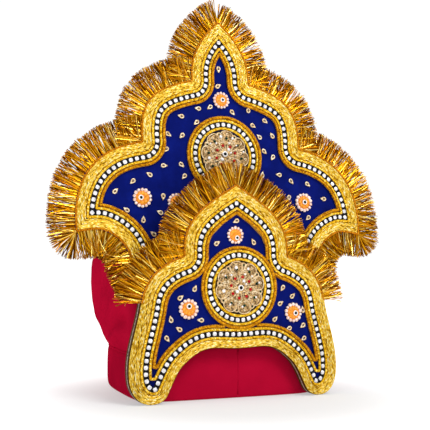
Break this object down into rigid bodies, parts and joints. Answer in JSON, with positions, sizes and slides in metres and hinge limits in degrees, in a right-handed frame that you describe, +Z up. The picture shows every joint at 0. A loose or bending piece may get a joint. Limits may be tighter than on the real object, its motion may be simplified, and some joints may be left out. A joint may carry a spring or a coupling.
{
  "type": "mukut crown",
  "caption": "Mukut crown: a soft cloth cap open below, with two lobed velvet boards in front, edged with gold braid, cords, stone chains and fringe.",
  "frame": {"origin": "on the flat bottom rim of the cap, at the front, in the middle of the cloth wall", "axes": "+Z up, the crown faces -Y, +X to the right as it is seen from in front"},
  "size_m": [0.282, 0.1953, 0.3119],
  "materials": {
    "crimson_cloth": "satin-weave cotton",
    "blue_velvet": "velvet",
    "pale_gold_braid": "woven metallic thread",
    "yellow_gold_cord": "twisted metallic thread",
    "brown_gold_cord": "twisted metallic thread",
    "white_stones": "cut stones in a dark setting",
    "beige_gold_filigree": "openwork with small stones",
    "orange_flower": "enamel",
    "gold_fringe": "metallic strands"
  },
  "bodies": {
    "root": {"cap_band": "crimson_cloth", "cap_crown": "crimson_cloth", "front_board": "blue_velvet", "back_board": "blue_velvet", "front_braid": "pale_gold_braid", "back_braid": "pale_gold_braid", "front_outer_cord": "yellow_gold_cord", "back_outer_cord": "yellow_gold_cord", "front_inner_cord": "yellow_gold_cord", "back_inner_cord": "yellow_gold_cord", "front_medal_inner_cord": "yellow_gold_cord", "back_medal_inner_cord": "yellow_gold_cord", "front_medal_outer_cord": "yellow_gold_cord", "back_medal_outer_cord": "yellow_gold_cord", "front_edge_cord": "brown_gold_cord", "back_edge_cord": "brown_gold_cord", "front_brown_cord_top": "brown_gold_cord", "front_brown_cord_left_leg": "brown_gold_cord", "front_brown_cord_right_leg": "brown_gold_cord", "back_brown_cord": "brown_gold_cord", "front_medal_brown_cord": "brown_gold_cord", "back_medal_brown_cord": "brown_gold_cord", "front_stone_chain": "white_stones", "back_stone_chain": "white_stones", "front_medal_stone_chain": "white_stones", "back_medal_stone_chain": "white_stones", "front_medal_rosette": "beige_gold_filigree", "back_medal_rosette": "beige_gold_filigree", "front_flower_top": "orange_flower", "front_flower_left": "orange_flower", "front_flower_right": "orange_flower", "back_flower_top": "orange_flower", "back_flower_left": "orange_flower", "back_flower_right": "orange_flower", "back_flower_inner_left": "orange_flower", "back_flower_inner_right": "orange_flower", "front_fringe_left": "gold_fringe", "front_fringe_right": "gold_fringe", "back_fringe_left": "gold_fringe", "back_fringe_right": "gold_fringe"}
  },
  "joints": []
}
